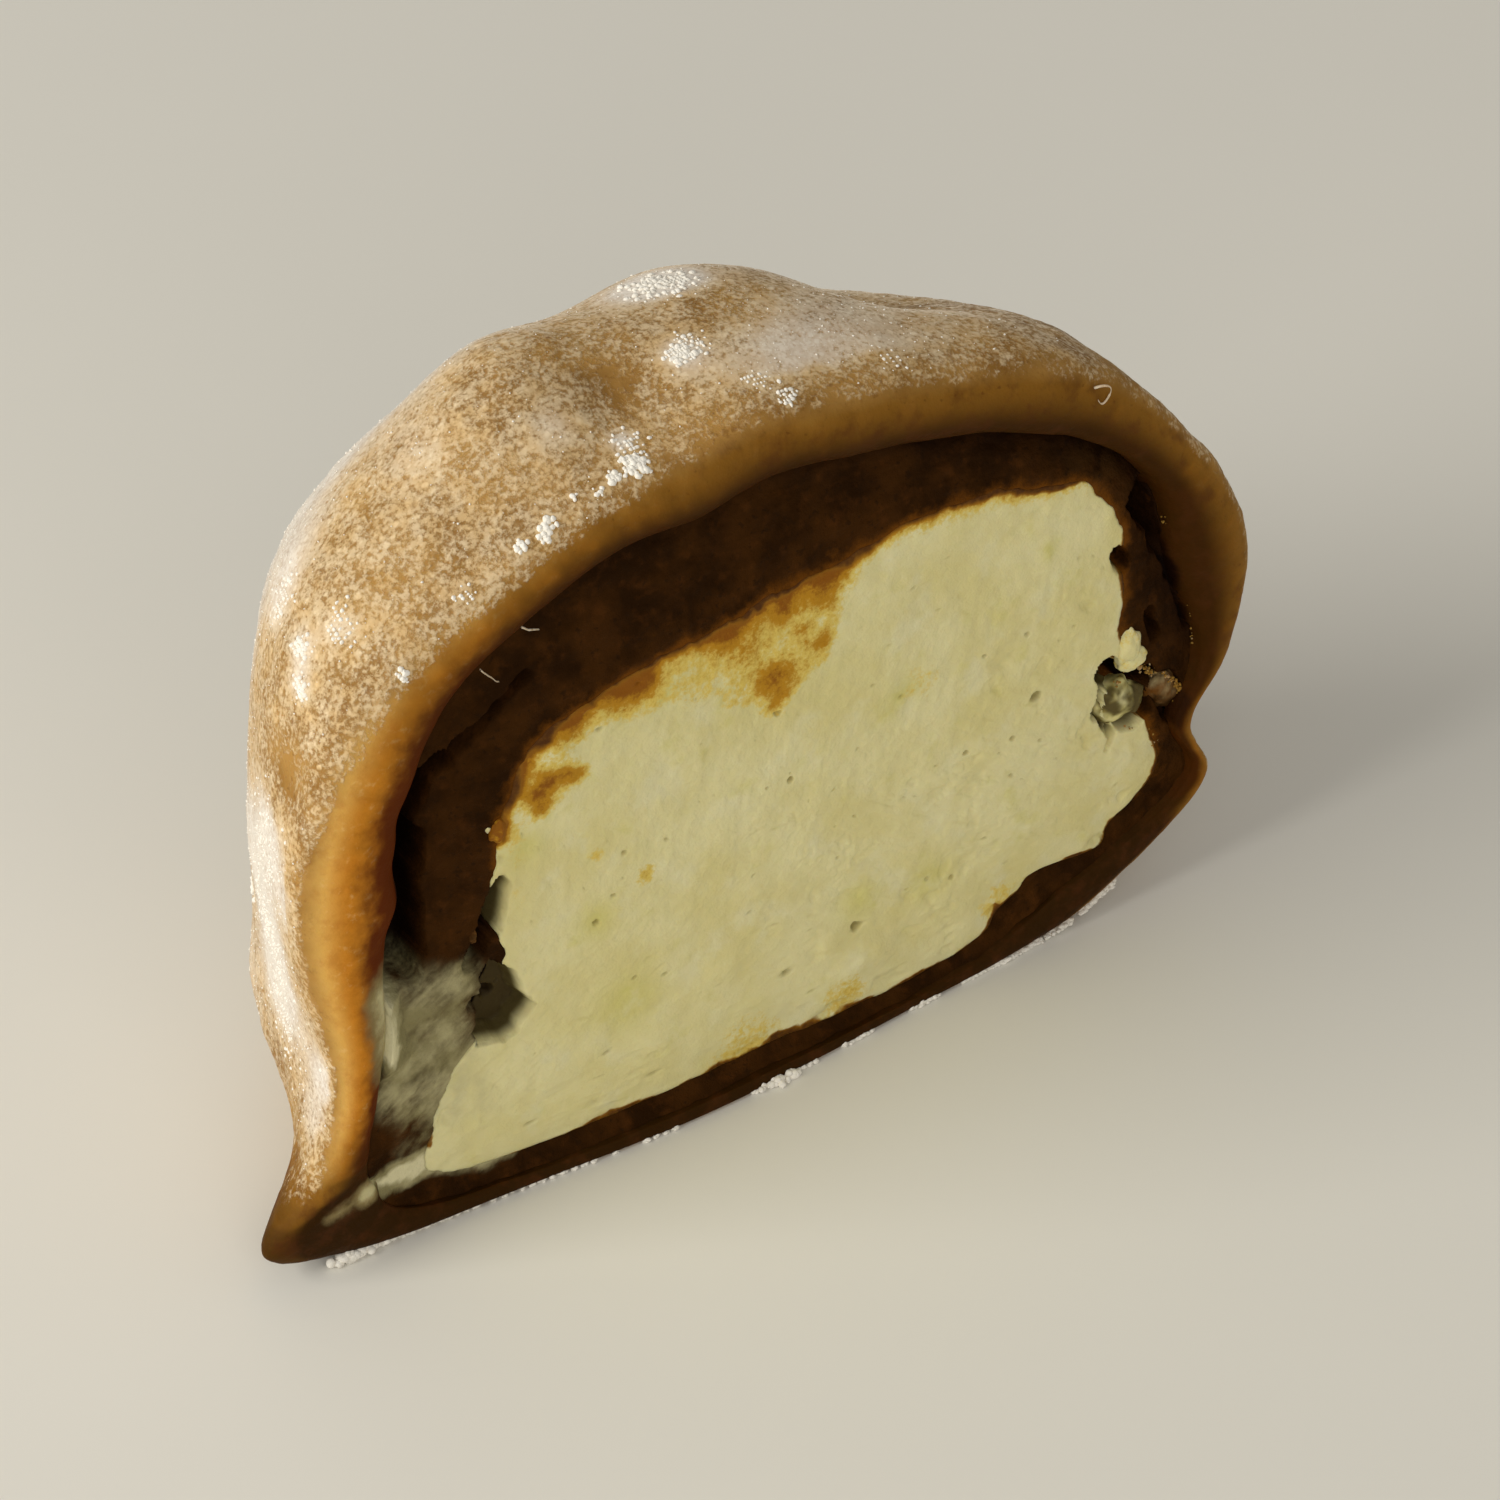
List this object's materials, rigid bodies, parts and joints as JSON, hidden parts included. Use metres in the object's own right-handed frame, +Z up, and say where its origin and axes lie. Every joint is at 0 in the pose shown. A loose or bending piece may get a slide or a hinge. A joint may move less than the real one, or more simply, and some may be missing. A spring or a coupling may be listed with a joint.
{
  "type": "cafe au lait daifuku half",
  "caption": "Half of a soft filled rice cake, knife-cut face upright: coffee-coloured dusted skin round coffee bean paste round a whipped milk cream core, lying on its flat base.",
  "frame": {"origin": "middle of the bounding box's underside, on the surface that the half rests on", "axes": "+X along the cut from the dragged heel to the rounded toe, +Y from the cut face into the body, +Z up"},
  "size_m": [0.0642, 0.028, 0.0476],
  "materials": {
    "mochi": "soft translucent coffee-coloured rice cake, dusted with potato starch, damp and satin on its cut lip",
    "coffee_paste": "dense dark brown sweet bean paste, smeared smooth by the knife",
    "milk_cream": "pale whipped milk cream with fine pores, drag marks of the knife and coffee-brown smears"
  },
  "bodies": {
    "root": {"mochi_skin": "mochi", "coffee_paste": "coffee_paste", "milk_cream": "milk_cream"}
  },
  "joints": []
}
